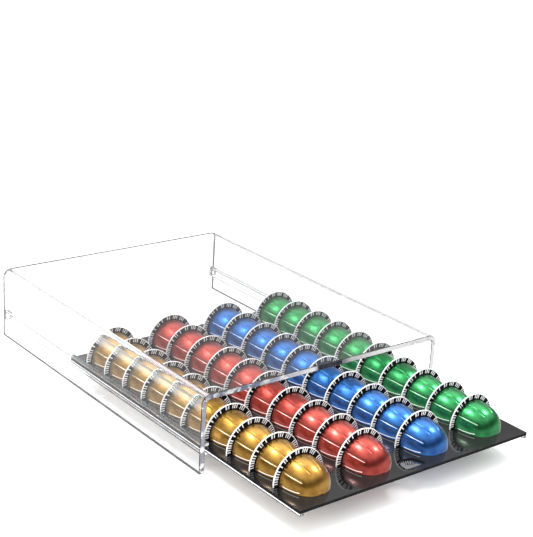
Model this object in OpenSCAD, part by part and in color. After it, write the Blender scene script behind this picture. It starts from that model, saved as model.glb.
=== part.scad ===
// Coffee pod drawer: a clear bent cover that stands on the counter, and a black
// tray of coffee pods that slides in and out under it. Millimetres, +Z up, the
// drawer opens toward -Y. The origin is under the middle of the drawer as it
// stands partly open.

/* [Cover] */
// Outside width of the cover
cover_w = 312; // [285:1:360]
// Front to back depth of the cover
cover_d = 412; // [405:1:460]
// Outside height of the cover
cover_h = 84; // [76:1:110]
// Thickness of the bent sheet
sheet_t = 6; // [4:0.5:7]
// Inside radius of the two bends
bend_in_r = 4; // [2:0.5:8]

/* [Rails] */
// Height of the lower rails' top face above the counter
rail_top_z = 22.8; // [22:0.1:26]
// How far the rails stand out from the side walls
rail_w = 4.5; // [3:0.25:5]
// Height of a lower rail strip
rail_lower_t = 3; // [2:0.5:5]
// Height of an upper rail strip
rail_upper_t = 3; // [2:0.5:5]
// Running gap between the tray and the upper rails
rail_gap = 0.3; // [0.1:0.1:0.6]
// Length of the stop block at the rear end of each slot
stop_l = 10; // [4:1:20]
// Gap between the closed tray and the stop blocks
stop_gap = 0.4; // [0.2:0.1:1]

/* [Tray] */
// Thickness of the black tray sheet
tray_t = 3; // [2.5:0.5:4]
// Gap between the tray's side edge and the cover's wall
tray_side_gap = 0.6; // [0.3:0.1:1]
// Width of the runner strip under each side edge
runner_w = 5; // [3:0.25:5.5]
// Height of the runner strips
runner_t = 3; // [2:0.5:4]
// How far the drawer stands open
drawer_out = 146; // [0:1:285]
// Corner radius of the tray sheet
tray_corner_r = 1; // [0.5:0.5:3]

/* [Finger hole] */
// Radius of the half-moon finger hole
finger_r = 12.5; // [9:0.1:14]
// From the straight side of the finger hole to the top of its arc
finger_depth = 17.5; // [15:0.1:20]
// From the tray's front edge to the straight side of the finger hole
finger_front = 7.2; // [5:0.1:10]

/* [Pod layout] */
// Number of pods from front to back in a column
pod_rows = 10; // [2:1:10]
// From the tray's side edge to the axis of the outer pods
pod_side = 35.4; // [34.5:0.1:44]
// Distance between neighbouring pods in a column
pod_pitch_y = 36.6; // [36:0.1:37]
// From the tray's front edge to the first pods' flanges
pod_first = 46.5; // [40:0.5:48]
// Height of the pods' axis above the tray's top face
pod_rise = 3; // [2:0.25:4]

/* [Pod] */
// Diameter of the flange over its rolled rim
flange_d = 59.6; // [58:0.1:60]
// Thickness of the flange
flange_t = 1; // [0.8:0.1:1.2]
// Radius of the rolled bead round the flange
bead_r = 0.8; // [0.5:0.1:0.9]
// Diameter of the dome where it meets the flange
dome_d = 46.6; // [44:0.1:54]
// Depth of the dome in front of the flange
dome_depth = 33.5; // [28:0.5:34]
// Roundness of the dome: 2 is an ellipse, more is fuller
dome_power = 2.5; // [2:0.05:2.8]
// Wall of the capsule
pod_wall = 0.6; // [0.4:0.1:0.8]
// Diameter of the foil lid
lid_d = 56.4; // [54:0.1:57]
// Thickness of the foil lid
lid_t = 0.3; // [0.2:0.1:0.4]

/* [Sockets] */
// Gap between the dome and the edge of its socket
dome_gap = 0.4; // [0.3:0.05:0.6]
// Gap on each face of the flange in its slot
flange_gap = 0.35; // [0.3:0.05:0.5]
// Gap between the ends of the slot and the rim that rests on them
seat_gap = 0.05; // [0.03:0.01:0.08]

/* [Hidden] */
COLOURS = ["gold", "red", "blue", "green"];
PAINTS = [[0.84, 0.63, 0.24], [0.78, 0.24, 0.22], [0.16, 0.42, 0.78], [0.16, 0.62, 0.3]];
CLEAR = [0.85, 0.93, 0.97, 0.35];
BLACK = [0.07, 0.07, 0.075];
FOIL = [0.8, 0.8, 0.82];

function pod_name(c, r) = str(COLOURS[c], "_pod_", r < 9 ? "0" : "", r + 1);

eps = 1;                          // overshoot of a cutting shape
arc_steps = 16;                   // flats along the dome's profile
bend_out_r = bend_in_r + sheet_t;
tray_w = cover_w - 2 * (sheet_t + tray_side_gap);
tray_l = cover_d - stop_l - stop_gap;
pod_pitch_x = (tray_w - 2 * pod_side) / (len(COLOURS) - 1);  // the four columns share the tray's width
tray_z = rail_top_z + runner_t;   // underside of the tray sheet
tray_top = tray_z + tray_t;
slot_top = tray_top + rail_gap;
pod_z = tray_top + pod_rise;
flange_r = flange_d / 2;
dome_r = dome_d / 2;
front_y = -(cover_d + drawer_out) / 2;  // front edge of the tray
cover_y = front_y + drawer_out;         // front edge of the cover
back_y = cover_y + cover_d;
wall_x = cover_w / 2 - sheet_t;         // inner face of a side wall

function pod_x(c) = (c - (len(COLOURS) - 1) / 2) * pod_pitch_x;
function pod_y(r) = front_y + pod_first + r * pod_pitch_y;

// Half width of a round section of radius r, at the tray's top face
function half_at_tray(r) = sqrt(max(0, r * r - pod_rise * pod_rise));

// Points [radius, distance from the flange] from the dome's root to its nose
function dome_points(r, depth) = [for (i = [0:arc_steps])
    let (a = 90 * i / arc_steps)
    [r * pow(cos(a), 2 / dome_power), depth * pow(sin(a), 2 / dome_power)]];

// Cover: flat top and two side walls, bent from one sheet
module bent_outline(w, h, r) {
    translate([-w / 2, 0]) square([w, h - r]);
    translate([r - w / 2, 0]) square([w - 2 * r, h]);
    for (s = [-1, 1]) translate([s * (w / 2 - r), h - r]) circle(r, $fn = 64);
}

module cover() {
    color(CLEAR)
    translate([0, back_y, 0]) rotate([90, 0, 0]) linear_extrude(cover_d)
    difference() {
        bent_outline(cover_w, cover_h, bend_out_r);
        translate([0, -eps]) bent_outline(cover_w - 2 * sheet_t, cover_h - sheet_t + eps, bend_in_r);
    }
}

// Rails: two strips on each wall, with the tray's edge in the slot between them
module wall_strip(side, y0, length, z0, height) {
    color(CLEAR)
    translate([side > 0 ? wall_x - rail_w : -wall_x, y0, z0]) cube([rail_w, length, height]);
}

module rail_lower(side) { wall_strip(side, cover_y, cover_d, rail_top_z - rail_lower_t, rail_lower_t); }
module rail_upper(side) { wall_strip(side, cover_y, cover_d, slot_top, rail_upper_t); }
module rail_stop(side) { wall_strip(side, back_y - stop_l, stop_l, rail_top_z, slot_top - rail_top_z); }

// Tray: black sheet with a socket for each pod and a finger hole
module dome_opening() {
    half = [for (p = dome_points(dome_r, dome_depth)) if (p[0] > pod_rise + 0.01)
        [half_at_tray(p[0]) + dome_gap, -p[1]]];
    nose = -dome_depth - dome_gap;
    polygon(concat([[half[0][0], flange_gap]], half, [[dome_gap * 4, nose], [-dome_gap * 4, nose]],
        [for (i = [len(half) - 1:-1:0]) [-half[i][0], half[i][1]]], [[-half[0][0], flange_gap]]));
}

module socket() {
    seat = half_at_tray(flange_r) + seat_gap;
    dome_opening();
    translate([-seat, -flange_gap]) square([2 * seat, flange_t + lid_t + 2 * flange_gap]);
}

module tray_outline() {
    translate([-tray_w / 2, tray_corner_r]) square([tray_w, tray_l - 2 * tray_corner_r]);
    translate([tray_corner_r - tray_w / 2, 0]) square([tray_w - 2 * tray_corner_r, tray_l]);
    for (x = [-1, 1], y = [tray_corner_r, tray_l - tray_corner_r])
        translate([x * (tray_w / 2 - tray_corner_r), y]) circle(tray_corner_r, $fn = 32);
}

module finger_hole() {
    rise = finger_depth - finger_r;
    translate([0, finger_front]) intersection() {
        union() {
            translate([0, rise]) circle(finger_r, $fn = 64);
            translate([-finger_r, 0]) square([2 * finger_r, rise]);
        }
        translate([-finger_r, 0]) square([2 * finger_r, finger_depth]);
    }
}

module tray() {
    color(BLACK)
    translate([0, front_y, tray_z]) linear_extrude(tray_t) difference() {
        tray_outline();
        finger_hole();
        for (c = [0:3], r = [0:pod_rows - 1]) translate([pod_x(c), pod_y(r) - front_y]) socket();
    }
}

module tray_runner(side) {
    color(CLEAR)
    translate([side > 0 ? tray_w / 2 - runner_w : -tray_w / 2, front_y, rail_top_z])
        cube([runner_w, tray_l, runner_t]);
}

// Pods: the axis runs front to back, with the dome toward the front
module on_pod_axis(c, r) {
    translate([pod_x(c), pod_y(r), pod_z]) rotate([90, 0, 0]) children();
}

module pod(c, r) {
    outer = dome_points(dome_r, dome_depth);
    inner = dome_points(dome_r - pod_wall, dome_depth - pod_wall);
    color(PAINTS[c])
    on_pod_axis(c, r) rotate_extrude($fn = 72) {
        polygon(concat(
            [[dome_r - pod_wall, -flange_t], [flange_r - bead_r, -flange_t], [flange_r - bead_r, 0]],
            outer, [for (i = [arc_steps:-1:0]) inner[i]]));
        translate([flange_r - bead_r, -flange_t / 2]) intersection() {
            circle(bead_r, $fn = 24);
            translate([-bead_r, -flange_t / 2]) square([2 * bead_r, flange_t / 2 + bead_r]);
        }
    }
}

module pod_lid(c, r) {
    color(FOIL)
    on_pod_axis(c, r) translate([0, 0, -flange_t - lid_t]) cylinder(h = lid_t, d = lid_d, $fn = 72);
}

cover();
rail_lower(-1);  // rail_lower_left
rail_lower(1);  // rail_lower_right
rail_upper(-1);  // rail_upper_left
rail_upper(1);  // rail_upper_right
rail_stop(-1);  // rail_stop_left
rail_stop(1);  // rail_stop_right
tray();
tray_runner(-1);  // tray_runner_left
tray_runner(1);  // tray_runner_right
for (c = [0:3]) {
    for (r = [0:pod_rows - 1])
        pod(c, r);
    pod_lid(c, 0);
    for (r = [1:pod_rows - 1]) pod_lid(c, r);
}
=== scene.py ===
import math

import bmesh
import bpy
from mathutils import Matrix, Vector


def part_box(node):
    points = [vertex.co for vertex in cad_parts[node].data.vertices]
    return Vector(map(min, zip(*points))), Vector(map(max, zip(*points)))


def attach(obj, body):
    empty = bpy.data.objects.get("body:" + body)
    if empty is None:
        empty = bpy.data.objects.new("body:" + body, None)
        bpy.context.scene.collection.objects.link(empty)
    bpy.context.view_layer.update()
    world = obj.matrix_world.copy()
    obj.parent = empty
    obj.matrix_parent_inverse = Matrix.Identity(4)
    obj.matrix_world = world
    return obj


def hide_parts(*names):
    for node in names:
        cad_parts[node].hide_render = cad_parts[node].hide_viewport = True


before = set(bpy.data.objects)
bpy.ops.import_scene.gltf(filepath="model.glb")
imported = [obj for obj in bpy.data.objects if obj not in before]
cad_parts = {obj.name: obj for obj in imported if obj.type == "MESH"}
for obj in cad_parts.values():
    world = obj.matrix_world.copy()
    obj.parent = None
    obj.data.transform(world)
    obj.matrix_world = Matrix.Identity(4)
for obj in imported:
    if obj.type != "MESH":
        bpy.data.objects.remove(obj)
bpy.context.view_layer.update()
mm = 0.001
scene = bpy.context.scene
scene.view_settings.view_transform = "Standard"
bounceLimit = 240  # light runs a long way inside the clear sheet
for limit in ("max_bounces", "glossy_bounces", "transmission_bounces"):
    setattr(scene.cycles, limit, bounceLimit)
print("frame loaded:", len(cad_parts), "nodes")

# Camera: the photograph's view of the half open drawer
cameraSpec = {
    "place": (-0.8278, -1.0599, 0.6169),  # metres
    "heading": 0.6745,  # radians from +Y toward +X
    "tilt": 0.3368,  # radians below the horizon
    "roll": 0.0577,
    "lens": 89.02,
    "sensor": 36.0,
    "clip": (0.01, 50),  # metres
}


def addCamera(spec):
    ahead = Vector((
        math.sin(spec["heading"]) * math.cos(spec["tilt"]),
        math.cos(spec["heading"]) * math.cos(spec["tilt"]),
        -math.sin(spec["tilt"]),
    ))
    flatRight = ahead.cross(Vector((0, 0, 1))).normalized()
    flatUp = flatRight.cross(ahead)
    turnCos, turnSin = math.cos(spec["roll"]), math.sin(spec["roll"])
    right = flatRight * turnCos + flatUp * turnSin
    up = flatUp * turnCos - flatRight * turnSin
    data = bpy.data.cameras.new("photoCamera")
    data.lens = spec["lens"]
    data.sensor_width = spec["sensor"]
    data.sensor_fit = "HORIZONTAL"
    data.clip_start, data.clip_end = spec["clip"]
    camera = bpy.data.objects.new("photoCamera", data)
    turned = Matrix((right, up, -ahead)).transposed().to_4x4()
    camera.matrix_world = Matrix.Translation(spec["place"]) @ turned
    scene.collection.objects.link(camera)
    scene.camera = camera


addCamera(cameraSpec)
print("camera placed")


# Node helpers
def newNode(tree, kind, **settings):
    node = tree.nodes.new(kind)
    for key, value in settings.items():
        setattr(node, key, value)
    return node


def feed(tree, source, socket):
    if isinstance(source, bpy.types.NodeSocket):
        tree.links.new(source, socket)
    else:
        socket.default_value = source


def maths(tree, operation, first, second=0.0, third=0.0, clamp=False):
    node = newNode(tree, "ShaderNodeMath", operation=operation, use_clamp=clamp)
    for source, socket in zip((first, second, third), node.inputs):
        feed(tree, source, socket)
    return node.outputs[0]


def remap(tree, value, low, high, toLow=0.0, toHigh=1.0, smooth=True):
    node = newNode(tree, "ShaderNodeMapRange")
    node.interpolation_type = "SMOOTHSTEP" if smooth else "LINEAR"
    for source, socket in zip((value, low, high, toLow, toHigh), node.inputs):
        feed(tree, source, socket)
    return node.outputs[0]


def times(tree, first, *others):
    for other in others:
        first = maths(tree, "MULTIPLY", first, other)
    return first


def oneMinus(tree, value):
    return maths(tree, "SUBTRACT", 1.0, value)


def blendValue(tree, factor, first, second):
    return maths(tree, "ADD", times(tree, oneMinus(tree, factor), first), times(tree, factor, second))


def radiusOf(tree, across, height):
    squares = maths(tree, "ADD", times(tree, across, across), times(tree, height, height))
    return maths(tree, "SQRT", squares)


def splitVector(tree, vector):
    split = newNode(tree, "ShaderNodeSeparateXYZ")
    feed(tree, vector, split.inputs[0])
    return split.outputs


def lightPath(tree):
    return newNode(tree, "ShaderNodeLightPath").outputs


def mirroredOver(tree, path, count):
    # 1 for light that was mirrored more than count times; over one means that it ran along inside a sheet
    return maths(tree, "GREATER_THAN", path["Glossy Depth"], count + 0.5)


def throughOneSheet(tree, path):
    # 1 for light that has passed no more than the two faces of one clear sheet
    return times(tree, maths(tree, "LESS_THAN", path["Transmission Depth"], 2.5), path["Is Transmission Ray"])


def mixColour(tree, factor, first, second):
    node = newNode(tree, "ShaderNodeMix", data_type="RGBA")
    feed(tree, factor, node.inputs["Factor"])
    colours = [s for s in node.inputs if s.type == "RGBA"]
    feed(tree, first, colours[0])
    feed(tree, second, colours[1])
    return [s for s in node.outputs if s.type == "RGBA"][0]


def newGroup(name, inputs, outputs):
    # inputs hold (name, socket type, starting value)
    group = bpy.data.node_groups.new(name, "ShaderNodeTree")
    for label, kind, value in inputs:
        socket = group.interface.new_socket(name=label, in_out="INPUT", socket_type=kind)
        if value is not None:
            socket.default_value = value
    for label, kind in outputs:
        group.interface.new_socket(name=label, in_out="OUTPUT", socket_type=kind)
    entry = group.nodes.new("NodeGroupInput")
    leave = group.nodes.new("NodeGroupOutput")
    return group, entry.outputs, leave.inputs


def useGroup(tree, group, **values):
    node = newNode(tree, "ShaderNodeGroup", node_tree=group)
    for label, value in values.items():
        feed(tree, value, node.inputs[label])
    return node.outputs


# Shared effects
def makeSpeckle():
    # fine cloudy variation, as a mask and as a height
    group, given, made = newGroup(
        "speckle",
        [("Vector", "NodeSocketVector", None), ("Scale", "NodeSocketFloat", 200.0),
         ("Detail", "NodeSocketFloat", 3.0), ("Low", "NodeSocketFloat", 0.35),
         ("High", "NodeSocketFloat", 0.65)],
        [("Mask", "NodeSocketFloat"), ("Height", "NodeSocketFloat")],
    )
    noise = newNode(group, "ShaderNodeTexNoise")
    for label in ("Vector", "Scale", "Detail"):
        feed(group, given[label], noise.inputs[label])
    feed(group, remap(group, noise.outputs[0], given["Low"], given["High"]), made["Mask"])
    feed(group, noise.outputs[0], made["Height"])
    return group


def makeStreaks():
    # long saw and flame marks that run along a cut edge
    group, given, made = newGroup(
        "streaks",
        [("Vector", "NodeSocketVector", None), ("Stretch", "NodeSocketVector", (1.0, 1.0, 1.0)),
         ("Scale", "NodeSocketFloat", 60.0), ("Waviness", "NodeSocketFloat", 0.4),
         ("Detail", "NodeSocketFloat", 4.0), ("Low", "NodeSocketFloat", 0.38),
         ("High", "NodeSocketFloat", 0.62)],
        [("Mask", "NodeSocketFloat"), ("Height", "NodeSocketFloat")],
    )
    stretched = newNode(group, "ShaderNodeVectorMath", operation="MULTIPLY")
    feed(group, given["Vector"], stretched.inputs[0])
    feed(group, given["Stretch"], stretched.inputs[1])
    noise = newNode(group, "ShaderNodeTexNoise")
    feed(group, stretched.outputs[0], noise.inputs["Vector"])
    feed(group, given["Scale"], noise.inputs["Scale"])
    feed(group, given["Detail"], noise.inputs["Detail"])
    feed(group, given["Waviness"], noise.inputs["Distortion"])
    feed(group, remap(group, noise.outputs[0], given["Low"], given["High"]), made["Mask"])
    feed(group, noise.outputs[0], made["Height"])
    return group


ringSpec = {
    "cells": 66.0,  # cells of equal width round the flange
    "seed": 11.0,
    "inner": 24.5 * mm,
    "outer": 28.9 * mm,
    "barLeast": 0.34,  # width of a bar as a share of its cell
    "barSpread": 0.16,
    "blankBelow": 0.24,  # luck below which a cell stays black
    "blockAbove": 0.88,  # luck above which a bar is a broad block
    "blockExtra": 0.2,
}


def makeTickRing(spec):
    # radial bars of random width between two radii, about an axis along Y
    group, given, made = newGroup(
        "tickRing",
        [("Vector", "NodeSocketVector", None), ("Cells", "NodeSocketFloat", spec["cells"]),
         ("Inner", "NodeSocketFloat", spec["inner"]), ("Outer", "NodeSocketFloat", spec["outer"]),
         ("Seed", "NodeSocketFloat", spec["seed"])],
        [("Bars", "NodeSocketFloat"), ("Blocks", "NodeSocketFloat")],
    )
    place = splitVector(group, given["Vector"])
    across, height = place["X"], place["Z"]
    turn = maths(group, "DIVIDE", maths(group, "ARCTAN2", height, across), 2 * math.pi)
    steps = times(group, maths(group, "ADD", turn, 0.5), given["Cells"])
    radius = radiusOf(group, across, height)
    chance = newNode(group, "ShaderNodeTexWhiteNoise", noise_dimensions="1D")
    feed(group, maths(group, "ADD", maths(group, "FLOOR", steps), given["Seed"]), chance.inputs["W"])
    luck = chance.outputs["Value"]
    width = maths(group, "ADD", times(group, luck, spec["barSpread"]), spec["barLeast"])
    block = maths(group, "GREATER_THAN", luck, spec["blockAbove"])
    width = maths(group, "ADD", width, times(group, block, spec["blockExtra"]))
    width = times(group, width, maths(group, "GREATER_THAN", luck, spec["blankBelow"]))
    bar = maths(group, "LESS_THAN", maths(group, "FRACT", steps), width)
    inside = times(group, maths(group, "GREATER_THAN", radius, given["Inner"]),
                   maths(group, "LESS_THAN", radius, given["Outer"]))
    feed(group, times(group, inside, bar), made["Bars"])
    feed(group, times(group, inside, block), made["Blocks"])
    return group


creaseSpec = {
    "lines": 10.0,  # pressed lines round a pod, as in podSpec
    "first": 6.0,  # degrees from +X toward +Z, as firstLine there
    "offset": 0.40 * mm,  # from an upper line to the middle of its painted highlight
    "half": 0.24 * mm,  # half the width of the painted highlight
    "core": 0.6,  # share of it that is at full strength
    "end": 24.2 * mm,  # how far in front of the flange the painted highlight reaches
    "lowOffset": -3.0,  # the same for a lower line, as shares of the upper one's
    "lowHalf": 2.7,
    "flank": (0.5, 0.75),  # shares of the radius between which the flank starts
    "highRise": (1 * mm, 18 * mm, 0.3),  # where an upper line's painted highlight gains strength, and from which share
    "lowRise": (4 * mm, 7 * mm),
}


def makeCrease(spec):
    # painted highlights beside the pressed lines on a pod's flanks: below the upper ones, above the lower
    # ones
    group, given, made = newGroup(
        "crease",
        [("Vector", "NodeSocketVector", None), ("Lines", "NodeSocketFloat", spec["lines"]),
         ("First", "NodeSocketFloat", spec["first"]), ("Offset", "NodeSocketFloat", spec["offset"]),
         ("Half", "NodeSocketFloat", spec["half"]), ("End", "NodeSocketFloat", spec["end"])],
        [("Mask", "NodeSocketFloat"), ("Low", "NodeSocketFloat")],
    )
    place = splitVector(group, given["Vector"])
    # both flanks are measured on the right one, so that the lower side is the same for both
    across, height = maths(group, "ABSOLUTE", place["X"]), place["Z"]
    radius = radiusOf(group, across, height)
    angle = maths(group, "ARCTAN2", height, across)
    side = blendValue(group, maths(group, "LESS_THAN", place["X"], 0.0), 1.0, -1.0)
    first = times(group, given["First"], math.pi / 180, side)
    steps = times(group, maths(group, "SUBTRACT", angle, first),
                  maths(group, "DIVIDE", given["Lines"], 2 * math.pi))
    wholeTurns = 20.5  # keeps the fraction's start positive, and centres it on a line
    near = maths(group, "SUBTRACT", maths(group, "FRACT", maths(group, "ADD", steps, wholeTurns)), 0.5)
    arc = times(group, near, radius, maths(group, "DIVIDE", 2 * math.pi, given["Lines"]))
    low = maths(group, "LESS_THAN", height, 0.0)
    offset = times(group, given["Offset"], blendValue(group, low, 1.0, spec["lowOffset"]))
    half = times(group, given["Half"], blendValue(group, low, 1.0, spec["lowHalf"]))
    away = maths(group, "ABSOLUTE", maths(group, "ADD", arc, offset))
    line = oneMinus(group, remap(group, away, times(group, half, spec["core"]), half))
    flank = remap(group, maths(group, "DIVIDE", across, radius), *spec["flank"])
    depth = times(group, place["Y"], -1.0)
    nearEnd, farEnd, least = spec["highRise"]
    highRise = remap(group, depth, nearEnd, farEnd, least, 1.0, smooth=False)
    span = blendValue(group, low, highRise, remap(group, depth, *spec["lowRise"]))
    span = times(group, span, maths(group, "LESS_THAN", depth, given["End"]))
    mask = times(group, line, flank, span)
    feed(group, mask, made["Mask"])
    feed(group, times(group, mask, low), made["Low"])
    return group


speckle = makeSpeckle()
streaks = makeStreaks()
tickRing = makeTickRing(ringSpec)
crease = makeCrease(creaseSpec)


# Materials
def newMaterial(name):
    material = bpy.data.materials.new(name)
    material.use_nodes = True
    tree = material.node_tree
    shader = next(n for n in tree.nodes if n.type == "BSDF_PRINCIPLED")
    place = newNode(tree, "ShaderNodeTexCoord").outputs["Object"]
    return material, tree, shader, place


def setPlain(shader, **values):
    for label, value in values.items():
        shader.inputs[label.replace("_", " ")].default_value = value


def addBump(tree, shader, height, strength, distance):
    bump = newNode(tree, "ShaderNodeBump")
    bump.inputs["Strength"].default_value = strength
    bump.inputs["Distance"].default_value = distance
    feed(tree, height, bump.inputs["Height"])
    feed(tree, bump.outputs[0], shader.inputs["Normal"])


def feedTones(tree, shader, mask, first, second):
    feed(tree, mixColour(tree, mask, first, second), shader.inputs["Base Color"])


def feedRoughness(tree, shader, height, least, most, low=0.3, high=0.7):
    # low and high bound the pattern's height, least and most the roughness
    feed(tree, remap(tree, height, low, high, least, most), shader.inputs["Roughness"])


# finishes that are one pattern: its values, two tones, the roughness and the bump
finishSpec = {
    "rimFoil": {  # bare rolled rim of the flange
        "effect": speckle, "pattern": {"Scale": 500.0},
        "tones": ((0.90, 0.90, 0.91, 1), (0.98, 0.98, 0.98, 1)),
        "roughness": (0.28, 0.42), "bump": (0.15, 0.0001), "plain": {"Metallic": 0.1},
    },
    "lidFoil": {  # crinkled bright foil that seals the back of a pod
        "effect": speckle, "pattern": {"Scale": 160.0, "Detail": 5.0},
        "tones": ((0.66, 0.67, 0.69, 1), (0.86, 0.86, 0.87, 1)),
        "roughness": (0.22, 0.40), "bump": (0.35, 0.0005), "plain": {"Metallic": 1.0},
    },
    "sawnAndPaintedLightAcrylic": {  # matt white side of a strip, as the saw leaves it, and pale as painted light where the strip gathers it
        "effect": streaks, "pattern": {"Stretch": (1.0, 0.3, 1.0), "Scale": 400.0, "Waviness": 0.4},
        "tones": ((0.86, 0.86, 0.87, 1), (0.97, 0.97, 0.97, 1)),
        "roughness": (0.45, 0.6), "bump": (0.2, 0.0002), "plain": {},
    },
    "blackEdge": {  # cut edge of the black sheet
        "effect": streaks, "pattern": {"Stretch": (0.2, 0.2, 1.0), "Scale": 500.0, "Waviness": 0.3},
        "tones": ((0.006, 0.006, 0.007, 1), (0.012, 0.012, 0.013, 1)),
        "roughness": (0.25, 0.4), "bump": (0.2, 0.0002), "plain": {"Specular_IOR_Level": 0.1},
    },
}


def makeFinish(name):
    spec = finishSpec[name]
    material, tree, shader, place = newMaterial(name)
    pattern = useGroup(tree, spec["effect"], Vector=place, **spec["pattern"])
    feedTones(tree, shader, pattern["Mask"], *spec["tones"])
    feedRoughness(tree, shader, pattern["Height"], *spec["roughness"])
    setPlain(shader, **spec["plain"])
    addBump(tree, shader, pattern["Height"], *spec["bump"])
    return material


foilTones = {
    "gold": ((0.52, 0.24, 0.025, 1), (0.80, 0.44, 0.065, 1)),
    "red": ((0.56, 0.052, 0.038, 1), (0.80, 0.11, 0.08, 1)),
    "blue": ((0.018, 0.14, 0.55, 1), (0.045, 0.27, 0.82, 1)),
    "green": ((0.012, 0.27, 0.07, 1), (0.04, 0.47, 0.13, 1)),
}


foilSpec = {
    "paintedHighlight": 0.9,  # how far the metal beside the pressed lines gives way to a pale painted highlight
    "paintedHighlightTone": (0.95, 0.95, 0.94, 1),
    "dulled": 0.6,  # how far the tone goes to the dull one in a mirror
    "dullTone": (0.24, 0.22, 0.22, 1),
    "glow": 0.6,  # strength of the painted glow along the highlights under the lower lines
}


def makeFoil(colour):
    # anodised foil: satin metal under a thin clear lacquer
    material, tree, shader, place = newMaterial(colour + "Foil")
    cloud = useGroup(tree, speckle, Vector=place, Scale=90.0, Detail=4.0)
    deep, light = foilTones[colour]
    lines = useGroup(tree, crease, Vector=place)
    # painted highlight: a pale, less metallic tone beside the pressed lines stands in for the light caught
    # there
    paintedHighlight = times(tree, lines["Mask"], foilSpec["paintedHighlight"])
    tone = mixColour(tree, cloud["Mask"], deep, light)
    # duller where another gloss surface mirrors it
    mirrored = mirroredOver(tree, lightPath(tree), 0)
    tone = mixColour(tree, times(tree, mirrored, foilSpec["dulled"]), tone, foilSpec["dullTone"])
    feedTones(tree, shader, paintedHighlight, tone, foilSpec["paintedHighlightTone"])
    feed(tree, oneMinus(tree, paintedHighlight), shader.inputs["Metallic"])
    fine = useGroup(tree, speckle, Vector=place, Scale=1400.0, Detail=2.0)
    feedRoughness(tree, shader, cloud["Height"], 0.28, 0.33)
    # painted glow: the highlights under the lower lines give off light of their own
    glow = tuple((value + 1) / 2 for value in light)  # halfway to white
    feed(tree, mixColour(tree, lines["Low"], (0, 0, 0, 1), glow), shader.inputs["Emission Color"])
    setPlain(shader, Coat_Weight=0.9, Coat_Roughness=0.24, Emission_Strength=foilSpec["glow"])
    addBump(tree, shader, fine["Height"], 0.12, 0.00006)
    return material


def makeRingPrint():
    # printed ring of ticks on the flange
    material, tree, shader, place = newMaterial("ringPrint")
    ring = useGroup(tree, tickRing, Vector=place)
    cloud = useGroup(tree, speckle, Vector=place, Scale=900.0)
    dark = mixColour(tree, cloud["Mask"], (0.002, 0.002, 0.003, 1), (0.008, 0.008, 0.009, 1))
    pale = mixColour(tree, ring["Blocks"], (0.98, 0.98, 0.98, 1), (0.80, 0.80, 0.82, 1))
    feedTones(tree, shader, ring["Bars"], dark, pale)
    feedRoughness(tree, shader, cloud["Height"], 0.50, 0.65)
    setPlain(shader, Specular_IOR_Level=0.05)
    addBump(tree, shader, cloud["Height"], 0.1, 0.00005)
    return material


def letLampsThrough(tree, shader, pale=None):
    # rays from lamps pass straight through clear sheet
    output = next(n for n in tree.nodes if n.type == "OUTPUT_MATERIAL")
    path = lightPath(tree)
    clearPass = newNode(tree, "ShaderNodeBsdfTransparent")
    clearPass.inputs[0].default_value = (0.98, 0.985, 0.99, 1)
    mix = newNode(tree, "ShaderNodeMixShader")
    feed(tree, path["Is Shadow Ray"], mix.inputs[0])
    tree.links.new(shader.outputs[0], mix.inputs[1])
    tree.links.new(clearPass.outputs[0], mix.inputs[2])
    tree.links.new(mix.outputs[0], output.inputs["Surface"])
    if pale:
        # painted light: light that has run along inside the sheet ends on a fixed pale glow at this edge
        leave = newNode(tree, "ShaderNodeEmission")
        leave.inputs[0].default_value = pale
        last = newNode(tree, "ShaderNodeMixShader")
        feed(tree, mirroredOver(tree, path, 1), last.inputs[0])
        tree.links.new(mix.outputs[0], last.inputs[1])
        tree.links.new(leave.outputs[0], last.inputs[2])
        tree.links.new(last.outputs[0], output.inputs["Surface"])


sheetIndex = 1.42  # a little under real acrylic, for the photo's pale edges


def makeClearAcrylic(name, film, tint, pale=None):
    # film is how much of a faint film of dust lies on it
    material, tree, shader, place = newMaterial(name)
    wave = useGroup(tree, speckle, Vector=place, Scale=9.0, Detail=1.0)
    feedTones(tree, shader, wave["Mask"], tint, (tint[0] + 0.01, tint[1] + 0.01, tint[2] + 0.005, 1))
    setPlain(shader, Roughness=0.0, IOR=sheetIndex, Transmission_Weight=1.0, Coat_Weight=film,
             Coat_Roughness=0.08, Coat_IOR=1.55)
    addBump(tree, shader, wave["Height"], 0.05, 0.0004)
    letLampsThrough(tree, shader, pale)
    return material


def makeBendAcrylic():
    # the bend, faintly hazed along its length by the heating; its pale streaks also stand in as a painted
    # highlight along the bend
    material, tree, shader, place = newMaterial("bendAcrylic")
    marks = useGroup(tree, streaks, Vector=place, Stretch=(1.0, 0.01, 1.0), Scale=420.0, Waviness=0.2)
    feedTones(tree, shader, marks["Mask"], (0.66, 0.67, 0.64, 1), (0.98, 0.98, 0.97, 1))
    setPlain(shader, Roughness=0.0, IOR=sheetIndex, Transmission_Weight=0.82)
    letLampsThrough(tree, shader)
    return material


# painted light and shade along the flame polished cut edge from left to right: place across in metres, tone,
# share of flecks
frontPaintedLight = (
    (-0.156, (0.17, 0.17, 0.21), 1.0), (-0.149, (0.19, 0.19, 0.23), 1.0),
    (-0.144, (0.03, 0.04, 0.08), 1.0), (-0.080, (0.05, 0.06, 0.11), 1.0),
    (-0.060, (0.24, 0.25, 0.36), 1.0), (-0.035, (0.45, 0.45, 0.54), 1.0),
    (-0.018, (0.95, 0.95, 0.96), 0.5), (-0.012, (0.001, 0.001, 0.002), 0.0),
    (0.020, (0.001, 0.001, 0.002), 0.0), (0.034, (0.25, 0.25, 0.26), 0.3),
    (0.070, (0.75, 0.75, 0.75), 0.3), (0.156, (0.85, 0.85, 0.85), 0.3),
)
# painted shade: the rear and lower cut edges are kept nearly black, with few flecks
rearPaintedShade = ((-0.156, (0.004, 0.004, 0.005), 0.03), (0.156, (0.02, 0.02, 0.022), 0.03))

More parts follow.
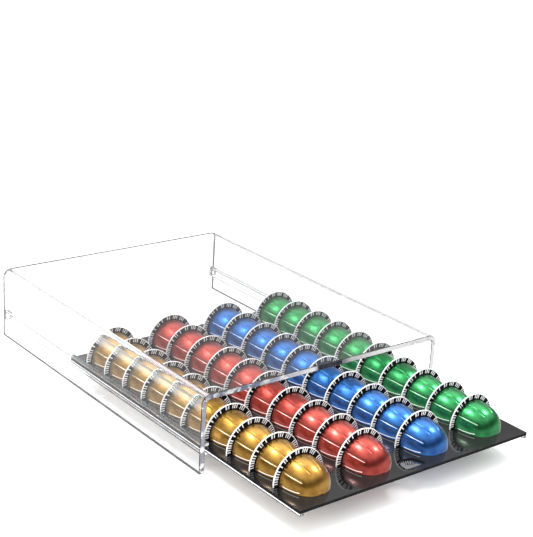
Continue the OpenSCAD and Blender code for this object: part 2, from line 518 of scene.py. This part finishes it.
cutSpec = {
    "fleckRise": (0.48, 0.54),  # heights of the marks between which a fleck fades in
    "glintRise": (0.56, 0.60),
    "glintEnd": -149.5 * mm,  # the flecks left of this also glow as painted glints
    "fleckTone": (0.93, 0.93, 0.95, 1),
    "glintTone": (0.75, 0.75, 0.80, 1),
    "glintStrength": 0.9,
}


def makeCutAcrylic(name, paintedTones, clearness, spec, pale=None):
    # flame polished cut edge, with the saw's marks still in it; its tones along X are painted light and
    # shade, and some marks glow as painted glints
    material, tree, shader, place = newMaterial(name)
    marks = useGroup(tree, streaks, Vector=place, Stretch=(0.4, 1.0, 0.7), Scale=230.0, Waviness=0.8)
    broad = useGroup(tree, streaks, Vector=place, Stretch=(1.0, 1.0, 1.0), Scale=70.0, Waviness=0.2)
    fromMiddle = splitVector(tree, place)["X"]
    across = remap(tree, fromMiddle, paintedTones[0][0], paintedTones[-1][0], smooth=False)
    ramp = newNode(tree, "ShaderNodeValToRGB")
    span = paintedTones[-1][0] - paintedTones[0][0]
    while len(ramp.color_ramp.elements) < len(paintedTones):
        ramp.color_ramp.elements.new(1.0)
    for element, (x, tone, flecks) in zip(ramp.color_ramp.elements, paintedTones):
        element.position = (x - paintedTones[0][0]) / span
        element.color = (*tone, flecks)
    feed(tree, across, ramp.inputs[0])
    flecks = times(tree, remap(tree, marks["Height"], *spec["fleckRise"]), broad["Mask"],
                   ramp.outputs["Alpha"])
    feedTones(tree, shader, flecks, ramp.outputs[0], spec["fleckTone"])
    # painted glints: emission on the brightest flecks of the left wall's edge
    glints = times(tree, remap(tree, marks["Height"], *spec["glintRise"]), flecks,
                   maths(tree, "LESS_THAN", fromMiddle, spec["glintEnd"]))
    feed(tree, mixColour(tree, glints, (0, 0, 0, 1), spec["glintTone"]), shader.inputs["Emission Color"])
    setPlain(shader, Roughness=0.04, IOR=sheetIndex, Transmission_Weight=clearness,
             Emission_Strength=spec["glintStrength"])
    addBump(tree, shader, marks["Height"], 0.6, 0.0012)
    letLampsThrough(tree, shader, pale)
    return material


def makeBlackAcrylic():
    # gloss black sheet, with faint handling haze
    material, tree, shader, place = newMaterial("blackAcrylic")
    haze = useGroup(tree, speckle, Vector=place, Scale=22.0, Detail=5.0)
    feedTones(tree, shader, haze["Mask"], (0.005, 0.005, 0.006, 1), (0.010, 0.010, 0.011, 1))
    feedRoughness(tree, shader, haze["Height"], 0.03, 0.09, low=0.35)
    setPlain(shader, IOR=1.68)
    addBump(tree, shader, haze["Height"], 0.03, 0.0005)
    # painted reflection: in the mirror of another piece it glows mid grey, as the photo's softened
    # reflections do
    path = lightPath(tree)
    bounced = maths(tree, "SUBTRACT", path["Is Glossy Ray"], path["Is Transmission Ray"], clamp=True)
    glow = newNode(tree, "ShaderNodeEmission")
    glow.inputs[0].default_value = (0.55, 0.55, 0.55, 1)
    mix = newNode(tree, "ShaderNodeMixShader")
    feed(tree, bounced, mix.inputs[0])
    tree.links.new(shader.outputs[0], mix.inputs[1])
    tree.links.new(glow.outputs[0], mix.inputs[2])
    output = next(n for n in tree.nodes if n.type == "OUTPUT_MATERIAL")
    tree.links.new(mix.outputs[0], output.inputs["Surface"])
    return material


foils = {colour: makeFoil(colour) for colour in foilTones}
rimFoil, ringPrint, lidFoil = makeFinish("rimFoil"), makeRingPrint(), makeFinish("lidFoil")
# edgeGlow is a painted glow, given to the cut edges and the top where light run along inside the sheet ends
clearTint, edgeGlow = (0.985, 0.99, 0.995, 1), (0.9, 0.9, 0.9, 1)
clearFinishes = {
    "plain": makeClearAcrylic("clearAcrylic", 0.0, clearTint),
    "cut": makeCutAcrylic("cutAcrylic", frontPaintedLight, 1.0, cutSpec),
    "sawnAndPaintedLight": makeFinish("sawnAndPaintedLightAcrylic"),
    "darkCut": makeCutAcrylic("darkCutAcrylic", rearPaintedShade, 0.5, cutSpec, edgeGlow),
    "dusty": makeClearAcrylic("dustyAcrylic", 0.45, clearTint, edgeGlow),
    "rail": makeClearAcrylic("railAcrylic", 0.0, (0.72, 0.72, 0.73, 1)),
    "bend": makeBendAcrylic(),
}
blackAcrylic, blackEdge = makeBlackAcrylic(), makeFinish("blackEdge")
print("materials made")


# Mesh helpers
def faceOutward(mesh):
    work = bmesh.new()
    work.from_mesh(mesh)
    bmesh.ops.recalc_face_normals(work, faces=work.faces)
    work.to_mesh(mesh)
    work.free()


def makeMesh(name, verts, faces, materials, marks=None):
    # marks gives each face's place in the list of materials
    mesh = bpy.data.meshes.new(name)
    mesh.from_pydata(verts, [], faces)
    for material in materials:
        mesh.materials.append(material)
    if marks:
        mesh.polygons.foreach_set("material_index", marks)
    mesh.polygons.foreach_set("use_smooth", [True] * len(faces))
    mesh.update()
    faceOutward(mesh)
    return mesh


def placeMesh(name, mesh, place=(0, 0, 0)):
    piece = bpy.data.objects.new(name, mesh)
    piece.location = place
    scene.collection.objects.link(piece)
    return piece


def dress(piece, body, slot, *nodes):
    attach(piece, body)
    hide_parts(*nodes)


def quarterTurns(steps, start=0.0):
    return [start + math.pi / 2 * i / steps for i in range(steps + 1)]


def arcPoints(x, z, radius, turns, outward=1):
    # points of an arc with their outward normals: x, z, normal x, normal z
    ways = [(math.cos(a), math.sin(a)) for a in turns]
    return [(x + radius * c, z + radius * s, outward * c, outward * s) for c, s in ways]


def sweepOutline(outline, low, high, edge, steps):
    # a closed outline drawn along Y, with rounded end edges and exact normals
    turns = quarterTurns(steps)
    ends = [(low + edge * (1 - math.sin(a)), a, -1) for a in reversed(turns)]
    ends += [(high - edge * (1 - math.sin(a)), a, 1) for a in turns]
    verts, normals = [], []
    for y, a, side in ends:
        inset = edge * (1 - math.cos(a))
        for x, z, nx, nz in outline:
            verts.append((x - inset * nx, y, z - inset * nz))
            normals.append((nx * math.cos(a), side * math.sin(a), nz * math.cos(a)))
    count = len(outline)
    faces = []
    for s in range(len(ends) - 1):
        for i in range(count):
            j = (i + 1) % count
            faces.append((s * count + i, s * count + j, (s + 1) * count + j, (s + 1) * count + i))
    return verts, normals, faces


def addSwept(name, verts, normals, faces, finishes):
    # finishes names each face's clear finish
    order = list(clearFinishes)
    marks = [order.index(finish) for finish in finishes]
    mesh = makeMesh(name, verts, faces, clearFinishes.values(), marks)
    mesh.normals_split_custom_set_from_vertices(normals)
    return placeMesh(name, mesh)


# Cover: one clear sheet bent to a flat top and two walls
coverSpec = {
    "sheet": 6 * mm,
    "bend": 10 * mm,  # outside radius
    "edge": 0.6 * mm,  # rounding of the cut edges
    "foot": 1.0 * mm,  # rounding along the walls' lower edges
    "hazeAndHighlight": (67 * mm, 78.5 * mm),  # heights between which the bend is hazed and carries its painted highlight
    "level": 0.01 * mm,  # what counts as level
    "bendSteps": 28,
    "edgeSteps": 4,
}


def coverOutline(half, height, spec):
    # over the outside from left to right, then back along the inside
    sheet, bend, foot, steps = spec["sheet"], spec["bend"], spec["foot"], spec["bendSteps"]
    bendX, bendZ = half - bend, height - bend
    footTurns = quarterTurns(spec["edgeSteps"])
    pi = math.pi
    outer = arcPoints(-half + foot, foot, foot, [pi * 1.5 - a for a in footTurns])
    outer.append((-half, spec["hazeAndHighlight"][0], -1, 0))
    outer += arcPoints(-bendX, bendZ, bend, [pi - a for a in quarterTurns(steps)])
    outer += arcPoints(bendX, bendZ, bend, [pi / 2 - a for a in quarterTurns(steps)])
    outer.append((half, spec["hazeAndHighlight"][0], 1, 0))
    outer += arcPoints(half - foot, foot, foot, [-a for a in footTurns])
    inner = arcPoints(half - sheet + foot, foot, foot, [pi * 1.5 - a for a in footTurns])
    inner += arcPoints(bendX, bendZ, bend - sheet, quarterTurns(steps), -1)
    inner += arcPoints(-bendX, bendZ, bend - sheet, quarterTurns(steps, pi / 2), -1)
    inner.insert(len(footTurns), (half - sheet, spec["hazeAndHighlight"][0], -1, 0))
    inner.append((-half + sheet, spec["hazeAndHighlight"][0], 1, 0))
    inner += arcPoints(-half + sheet - foot, foot, foot, [-a for a in footTurns])
    return outer, inner


def buildCover(spec):
    low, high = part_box("cover")
    outer, inner = coverOutline((high.x - low.x) / 2, high.z, spec)
    verts, normals, faces = sweepOutline(outer + inner, low.y, high.y, spec["edge"], spec["edgeSteps"])
    count = len(outer) + len(inner)
    last = len(verts) - count
    for i in range(count // 2 - 1):
        faces.append((i, i + 1, count - 2 - i, count - 1 - i))
        faces.append((last + i, last + i + 1, last + count - 2 - i, last + count - 1 - i))
    finishes = []
    for face in faces:
        depth = [verts[v][1] for v in face]
        rise = [verts[v][2] for v in face]
        outside = max(abs(verts[v][0]) for v in face) > high.x - spec["bend"]
        if max(depth) - min(depth) < spec["edge"]:
            flat = max(depth) - min(depth) < spec["level"]
            finish = "cut" if flat and max(depth) < (low.y + high.y) / 2 else "darkCut"
        elif max(rise) < spec["foot"] + spec["level"]:
            finish = "darkCut"
        elif min(rise) > high.z - spec["level"]:
            finish = "dusty"
        elif outside and min(rise) >= spec["hazeAndHighlight"][0] and max(rise) < spec["hazeAndHighlight"][1]:
            finish = "bend"
        else:
            finish = "plain"
        finishes.append(finish)
    dress(addSwept("coverSheet", verts, normals, faces, finishes), "housing", "clear_acrylic", "cover")


# Clear bars: rails, stops and runners
barSpec = {
    "edge": 0.25 * mm,
    "corner": 0.3 * mm,
    "gap": 0.03 * mm,  # a hair of air to what the bar is bonded to
    "level": 0.001 * mm,  # what counts as upright
    "edgeSteps": 3,
    "pieces": {
        # node, body and the finishes of its sides' upper half, the rest of its length, and its ends
        "leftLowerRail": ("rail_lower_left", "housing", ("plain", "plain", "plain")),
        "rightLowerRail": ("rail_lower_right", "housing", ("plain", "plain", "plain")),
        "leftUpperRail": ("rail_upper_left", "housing", ("rail", "rail", "rail")),
        "rightUpperRail": ("rail_upper_right", "housing", ("rail", "rail", "rail")),
        "leftStop": ("rail_stop_left", "housing", ("plain", "plain", "plain")),
        "rightStop": ("rail_stop_right", "housing", ("plain", "plain", "plain")),
        # the runners' pale sawn finish covers only the upper half of their sides, painting the light gathered
        # in the strip there
        "leftRunner": ("tray_runner_left", "drawer", ("sawnAndPaintedLight", "plain", "cut")),
        "rightRunner": ("tray_runner_right", "drawer", ("sawnAndPaintedLight", "plain", "cut")),
    },
}


def barOutline(low, high, corner, steps):
    # rounded corners, with a point halfway up each side
    points = []
    middle = (low.z + high.z) / 2
    for x, z, turn in ((high.x - corner, high.z - corner, 0), (low.x + corner, high.z - corner, 1),
                       (low.x + corner, low.z + corner, 2), (high.x - corner, low.z + corner, 3)):
        points += arcPoints(x, z, corner, quarterTurns(steps, turn * math.pi / 2))
        if turn in (1, 3):
            points.append((low.x if turn == 1 else high.x, middle, turn - 2, 0))
    return points


def buildBar(name, node, body, finishes, spec):
    low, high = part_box(node)
    gap = Vector((spec["gap"],) * 3)
    low, high = low + gap, high - gap
    outline = barOutline(low, high, spec["corner"], spec["edgeSteps"])
    verts, normals, faces = sweepOutline(outline, low.y, high.y, spec["edge"], spec["edgeSteps"])
    last = len(verts) - len(outline)
    faces.append(tuple(range(len(outline))))
    faces.append(tuple(last + i for i in range(len(outline))))
    upperSide, along, ends = finishes
    chosen = []
    for face in faces:
        across = [verts[v][0] for v in face]
        upright = max(across) - min(across) < spec["level"]
        upper = sum(verts[v][2] for v in face) > 2 * (low.z + high.z)
        chosen.append(ends if len(face) > 4 else upperSide if upright and upper else along)
    dress(addSwept(name, verts, normals, faces, chosen), body, "clear_acrylic", node)


buildCover(coverSpec)
for barName, barValues in barSpec["pieces"].items():
    buildBar(barName, *barValues, barSpec)
print("clear pieces built")


# Tray: the black sheet with its sockets, edges slightly eased
traySpec = {
    "edge": 0.18 * mm,
    "edgeSteps": 2,
    "flatAngle": 0.02,  # radians below which neighbouring faces are joined
    "rimAngle": 1.2,  # radians above which an edge is eased
    "level": 0.999,  # upward share of a normal that counts as level
    "weld": 0.001 * mm,
}


def buildTray(spec):
    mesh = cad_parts["tray"].data.copy()
    mesh.name = "trayPlate"
    mesh.materials.clear()
    mesh.materials.append(blackAcrylic)
    mesh.materials.append(blackEdge)
    work = bmesh.new()
    work.from_mesh(mesh)
    bmesh.ops.remove_doubles(work, verts=work.verts, dist=spec["weld"])
    bmesh.ops.dissolve_limit(work, angle_limit=spec["flatAngle"], verts=work.verts, edges=work.edges)
    rims = [e for e in work.edges if len(e.link_faces) == 2 and e.calc_face_angle(0) > spec["rimAngle"]]
    bmesh.ops.bevel(work, geom=rims, offset=spec["edge"], segments=spec["edgeSteps"], profile=0.5,
                    affect="EDGES", clamp_overlap=True)
    for face in work.faces:
        level = abs(face.normal.z) > spec["level"]
        face.material_index = 0 if level else 1
        face.smooth = not level
    work.to_mesh(mesh)
    work.free()
    tray = placeMesh("trayPlate", mesh)
    dress(tray, "drawer", "black_acrylic", "tray")


buildTray(traySpec)
print("tray built")

# Pods: a deep drawn dome with pressed lines, a printed flange, a rolled rim and a foil lid
podSpec = {
    "flange": 1.0 * mm,  # thickness
    "bead": 0.8 * mm,  # radius of the rolled rim
    "foot": 23.3 * mm,  # radius of the dome at the flange
    "power": 2.5,  # 2 makes the dome's profile an ellipse, more makes it fuller
    "wall": 0.6 * mm,
    "domeSteps": 34,
    "innerSteps": 12,
    "columns": 96,  # even ones round the dome
    "lineColumns": (0.2, 0.7, 1.3, 1.9, 2.5, 3.1),  # extra ones on both sides of a line, in degrees
    "lineRoom": 4.5,  # degrees beside a line without even columns
    "lines": 10,  # pressed lines round the dome
    "firstLine": 6,  # degrees from +X toward +Z
    "lineHalf": 1.1 * mm,
    "lineDepth": 0.46 * mm,
    "lineFade": (0.02, 0.06, 0.68, 0.76),  # shares of the depth where a line starts and ends
    "lidRadius": 28.2 * mm,
    "lidThick": 0.3 * mm,
    "lidColumns": 72,
    "lidEdge": 0.05 * mm,  # easing of the lid's edge
    "lidPress": 0.12 * mm,  # how deep the lid is pressed in
    # millimetres in from the lid's edge, and whether the lid is pressed in there
    "lidRings": ((0.1, 0), (0.9, 0), (1.3, 1), (3.6, 1), (4.0, 0), (5.2, 0), (6.0, 1)),
    "rows": 10,
    "point": 0.01 * mm,  # radius below which a ring is one point
    "ringInner": 23.7 * mm,
    "ringEnd": 0.75,  # share of the bead's radius inside its middle where the ring ends
    "beadStart": 0.80,  # half turns, from straight out toward the front, where the rolled rim starts
    "beadTurn": 0.95,
    "beadSteps": 6,
    "beadPale": 3,  # step from which it is bare foil
    "backStart": 0.3,  # share of the bead's radius outside its middle where the flat back starts
    "sharp": 50,  # degrees above which an edge stays sharp
    "lidSharp": 40,
}


def smoothStep(low, high, value):
    share = min(max((value - low) / (high - low), 0), 1)
    return share * share * (3 - 2 * share)


def podAngles(spec):
    # even columns, with extra ones close to each pressed line
    step = 360 / spec["lines"]
    near = [side * away for side in (-1, 1) for away in spec["lineColumns"]]
    angles = {round(spec["firstLine"] + k * step + d, 3) % 360 for k in range(spec["lines"]) for d in near}
    for i in range(spec["columns"]):
        angle = 360 * i / spec["columns"]
        offset = (angle - spec["firstLine"] + step / 2) % step - step / 2
        if abs(offset) > spec["lineRoom"]:
            angles.add(round(angle, 3))
    return [math.radians(a) for a in sorted(angles)]


def linePress(spec, angle, radius, share):
    # how deep the surface is pressed in at this place
    step = 2 * math.pi / spec["lines"]
    first = math.radians(spec["firstLine"])
    offset = ((angle - first + step / 2) % step - step / 2) * radius / spec["lineHalf"]
    if abs(offset) >= 1:
        return 0
    start, full, ending, end = spec["lineFade"]
    fade = smoothStep(start, full, share) * (1 - smoothStep(ending, end, share))
    return spec["lineDepth"] * (1 - offset * offset) ** 2 * fade


def domeProfile(foot, depth, power, steps):
    # from the nose to the foot: radius, distance forward of the flange
    points = []
    for i in range(steps, -1, -1):
        a = math.pi / 2 * i / steps
        points.append((foot * math.cos(a) ** (2 / power), depth * math.sin(a) ** (2 / power)))
    return points


def bridgeRings(rings):
    # faces between rings that follow each other; a ring that is one point gives triangles
    faces = []
    for near, far in zip(rings, rings[1:]):
        for i in range(len(near)):
            j = (i + 1) % len(near)
            faces.append(tuple(dict.fromkeys((near[i], near[j], far[j], far[i]))))
    return faces


def podShell(spec, outer, depth):
    # points from the nose over the flange to the inside: radius, place along Y, material
    bead, flange = spec["bead"], spec["flange"]
    middle = outer - bead
    shell = [(radius, -forward, 0)
             for radius, forward in domeProfile(spec["foot"], depth, spec["power"], spec["domeSteps"])]
    shell += [(spec["ringInner"], 0.0, 1), (middle - spec["ringEnd"] * bead, 0.0, 1)]
    for i in range(spec["beadSteps"] + 1):
        a = math.pi * (spec["beadStart"] - spec["beadTurn"] * i / spec["beadSteps"])
        y = min(flange / 2 - bead * math.sin(a), flange)
        shell.append((middle + bead * math.cos(a), y, 1 if i < spec["beadPale"] else 2))
    shell.append((middle + spec["backStart"] * bead, flange, 2))
    inside, room = spec["foot"] - spec["wall"], depth - spec["wall"]
    shell.append((inside, flange, 3))
    inner = domeProfile(inside, room, spec["power"], spec["innerSteps"])
    return shell + [(radius, -forward, 3) for radius, forward in reversed(inner)]


def buildPodMesh(name, spec, foil, outer, depth):
    angles = podAngles(spec)
    count = len(angles)
    shell = podShell(spec, outer, depth)
    verts, rings = [], []
    for radius, y, part in shell:
        if radius < spec["point"]:
            rings.append([len(verts)] * count)
            verts.append((0, y, 0))
            continue
        rings.append(list(range(len(verts), len(verts) + count)))
        share = -y / depth
        slope = pow(max(share, 0), spec["power"] - 1)
        across = (radius / spec["foot"]) ** (spec["power"] - 1)
        lean = Vector((across / spec["foot"], slope / depth)).normalized()
        for a in angles:
            press = linePress(spec, a, radius, share) if part == 0 else 0
            r = radius - press * lean.x
            verts.append((r * math.cos(a), y + press * lean.y, r * math.sin(a)))
    parts = [part for radius, y, part in shell]
    marks = [max(near, far) for near, far in zip(parts, parts[1:]) for i in range(count)]
    mesh = makeMesh(name, verts, bridgeRings(rings), (foil, ringPrint, rimFoil, rimFoil), marks)
    mesh.set_sharp_from_angle(angle=math.radians(spec["sharp"]))
    return mesh


def lidPoints(spec):
    # radius, place along Y
    radius, front, back = spec["lidRadius"], spec["flange"], spec["flange"] + spec["lidThick"]
    press = spec["lidPress"]
    points = [(0, front), (radius, front), (radius, back - spec["lidEdge"])]
    points += [(radius - inset * mm, back - press * pressed) for inset, pressed in spec["lidRings"]]
    return points + [(radius / 2, back - press / 2), (0, back)]


def buildLidMesh(name, places, spec):
    # one or more foil discs, each at its place
    count = spec["lidColumns"]
    verts, faces = [], []
    for place in places:
        rings = []
        for radius, y in lidPoints(spec):
            if radius == 0:
                rings.append([len(verts)] * count)
                verts.append((place[0], place[1] + y, place[2]))
                continue
            rings.append(list(range(len(verts), len(verts) + count)))
            for i in range(count):
                a = 2 * math.pi * i / count
                verts.append((place[0] + radius * math.cos(a), place[1] + y, place[2] + radius * math.sin(a)))
        faces += bridgeRings(rings)
    mesh = makeMesh(name, verts, faces, (lidFoil,))
    mesh.set_sharp_from_angle(angle=math.radians(spec["lidSharp"]))
    return mesh


def podPlace(node, spec):
    # middle of the flange's front face, its outer radius and the dome's depth
    low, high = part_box(node)
    middle = (low + high) / 2
    flangeFront = high.y - spec["flange"]
    return Vector((middle.x, flangeFront, middle.z)), (high.x - low.x) / 2, flangeFront - low.y


def buildColumn(colour, spec):
    nodes = [f"{colour}_pod_{r + 1:02d}" for r in range(spec["rows"])]
    _, outer, depth = podPlace(nodes[0], spec)
    mesh = buildPodMesh(colour + "Pod", spec, foils[colour], outer, depth)
    lids = []
    for row, node in enumerate(nodes):
        place = podPlace(node, spec)[0]
        body = colour + "_pod_front" if row == 0 else "drawer"
        pod = placeMesh(f"{colour}Pod{row + 1:02d}", mesh, place)
        dress(pod, body, colour + "_foil", node)
        if row == 0:
            lidMesh = buildLidMesh(colour + "FrontLid", [(0, 0, 0)], spec)
            lid = placeMesh(colour + "FrontLid", lidMesh, place)
            dress(lid, body, "lid_foil", node + "_lid")
        else:
            lids.append(tuple(place))
    rest = placeMesh(colour + "Lids", buildLidMesh(colour + "Lids", lids, spec))
    dress(rest, "drawer", "lid_foil", colour + "_pod_lids")


for podColour in foilTones:
    buildColumn(podColour, podSpec)
print("pods built")

# Floor, lamps and surroundings
studioSpec = {
    "floorHalf": 12.0,  # metres
    "floorDrop": 0.2 * mm,  # keeps the floor clear of the cover's feet
    "floorTone": 0.86,
    "floorGlow": 0.16,  # what the camera sees on top of the lit floor
    "throughGlow": 0.5,  # the same, seen through a clear sheet
    "mirrorTone": 0.22,  # the floor as seen in one reflection
    "mirrorGlow": 0.10,
    "trappedGlow": 0.75,  # the floor as seen by light that has run along inside a sheet
    "ambient": 0.85,
    "studioRise": (0.30, 0.85),  # heights in the sky, from 0 at the horizon to 1 overhead
    "throughRise": (0.30, 0.70),
    "hazeRise": (0.10, 0.30),
    "lowTone": 0.16,  # reflections near the horizon
    "highTone": 1.05,  # reflections overhead
    "backLean": 0.35,  # how much brighter reflections are toward the back
    "rightLean": 0.25,
    "throughHigh": 0.8,  # seen upward through the clear sheet
    "topHaze": 0.28,  # mirrored by the underside of the top sheet
    "wallHaze": 0.4,  # how far the floor keeps its full tone when it is mirrored once inside a sheet
}


def anyOf(tree, *flags):
    total = flags[0]
    for flag in flags[1:]:
        total = maths(tree, "MAXIMUM", total, flag)
    return total


def buildWorld(spec):
    world = bpy.data.worlds.new("studio")
    world.use_nodes = True
    scene.world = world
    tree = world.node_tree
    tree.nodes.clear()
    path = lightPath(tree)
    way = splitVector(tree, newNode(tree, "ShaderNodeTexCoord").outputs["Generated"])
    lean = maths(tree, "ADD", 1.0, times(tree, way["Y"], spec["backLean"]))
    lean = maths(tree, "ADD", lean, times(tree, way["X"], spec["rightLean"]))
    studio = times(tree, remap(tree, way["Z"], *spec["studioRise"], spec["lowTone"], spec["highTone"]), lean)
    through = remap(tree, way["Z"], *spec["throughRise"], 1.0, spec["throughHigh"])
    haze = remap(tree, way["Z"], *spec["hazeRise"], 1.0, spec["topHaze"])
    level = blendValue(tree, path["Is Glossy Ray"], spec["ambient"], studio)
    level = blendValue(tree, throughOneSheet(tree, path), level, haze)
    straight = times(tree, oneMinus(tree, mirroredOver(tree, path, 0)), path["Is Transmission Ray"])
    level = blendValue(tree, anyOf(tree, straight, mirroredOver(tree, path, 1)), level, through)
    level = blendValue(tree, path["Is Camera Ray"], level, 1.0)
    background = newNode(tree, "ShaderNodeBackground")
    background.inputs[0].default_value = (1, 1, 1, 1)
    feed(tree, level, background.inputs["Strength"])
    output = newNode(tree, "ShaderNodeOutputWorld")
    tree.links.new(background.outputs[0], output.inputs["Surface"])


def buildFloor(spec):
    half, height = spec["floorHalf"], -spec["floorDrop"]
    corners = [(x * half, y * half, height) for x, y in ((-1, -1), (1, -1), (1, 1), (-1, 1))]
    mesh = bpy.data.meshes.new("floor")
    mesh.from_pydata(corners, [], [(0, 1, 2, 3)])
    floor = placeMesh("floor", mesh)
    material = bpy.data.materials.new("paleFloor")
    material.use_nodes = True
    tree = material.node_tree
    shader = next(n for n in tree.nodes if n.type == "BSDF_PRINCIPLED")
    setPlain(shader, Roughness=0.9, Specular_IOR_Level=0.0, Emission_Color=(1, 1, 1, 1))
    path = lightPath(tree)
    seen = anyOf(tree, path["Is Camera Ray"], path["Is Glossy Ray"], path["Is Transmission Ray"])
    mirrored, trapped = mirroredOver(tree, path, 0), mirroredOver(tree, path, 1)
    # mirrored once inside a sheet it keeps more of its tone
    once = times(tree, maths(tree, "SUBTRACT", mirrored, trapped), throughOneSheet(tree, path))
    mirrored = maths(tree, "SUBTRACT", mirrored, times(tree, once, spec["wallHaze"]))
    tone, dim = spec["floorTone"], spec["mirrorTone"]
    feedTones(tree, shader, mirrored, (tone, tone, tone, 1), (dim, dim, dim, 1))
    glow = blendValue(tree, path["Is Transmission Ray"], spec["floorGlow"], spec["throughGlow"])
    glow = blendValue(tree, mirrored, glow, spec["mirrorGlow"])
    glow = blendValue(tree, trapped, glow, spec["trappedGlow"])
    feed(tree, times(tree, seen, glow), shader.inputs["Emission Strength"])
    mesh.materials.append(material)


# name: heading from +Y toward +X and height in degrees, distance, size, power
spotSpec = {
    "leftSpot": (-52, 64, 1.6, 0.30, 6.8),
    "rightSpot": (118, 62, 1.6, 0.30, 5.6),
}
# name: heading and height in degrees, how wide it looks in degrees, strength
sunSpec = {
    "backGlow": (36, 46, 60, 2.5),
    "frontFill": (-140, 45, 60, 1.5),
    "leftFill": (-92, 18, 40, 1.5),
}


def aimLamp(name, data, heading, height, distance, shows):
    a, e = math.radians(heading), math.radians(height)
    toward = Vector((math.sin(a) * math.cos(e), math.cos(a) * math.cos(e), math.sin(e)))
    lamp = bpy.data.objects.new(name, data)
    lamp.location = toward * distance
    lamp.rotation_euler = toward.to_track_quat("Z", "Y").to_euler()
    lamp.visible_camera = False
    lamp.visible_glossy = shows
    lamp.visible_transmission = False
    scene.collection.objects.link(lamp)


def buildSpot(name, heading, height, distance, size, power):
    data = bpy.data.lights.new(name, "AREA")
    data.shape = "DISK"
    data.size = size
    data.energy = power
    aimLamp(name, data, heading, height, distance, True)


sunDistance = 2.0  # of no matter for its light


def buildSun(name, heading, height, width, strength):
    data = bpy.data.lights.new(name, "SUN")
    data.angle = math.radians(width)
    data.energy = strength
    aimLamp(name, data, heading, height, sunDistance, False)


buildWorld(studioSpec)
buildFloor(studioSpec)
for lampName, lampValues in spotSpec.items():
    buildSpot(lampName, *lampValues)
for lampName, lampValues in sunSpec.items():
    buildSun(lampName, *lampValues)
print("studio built")
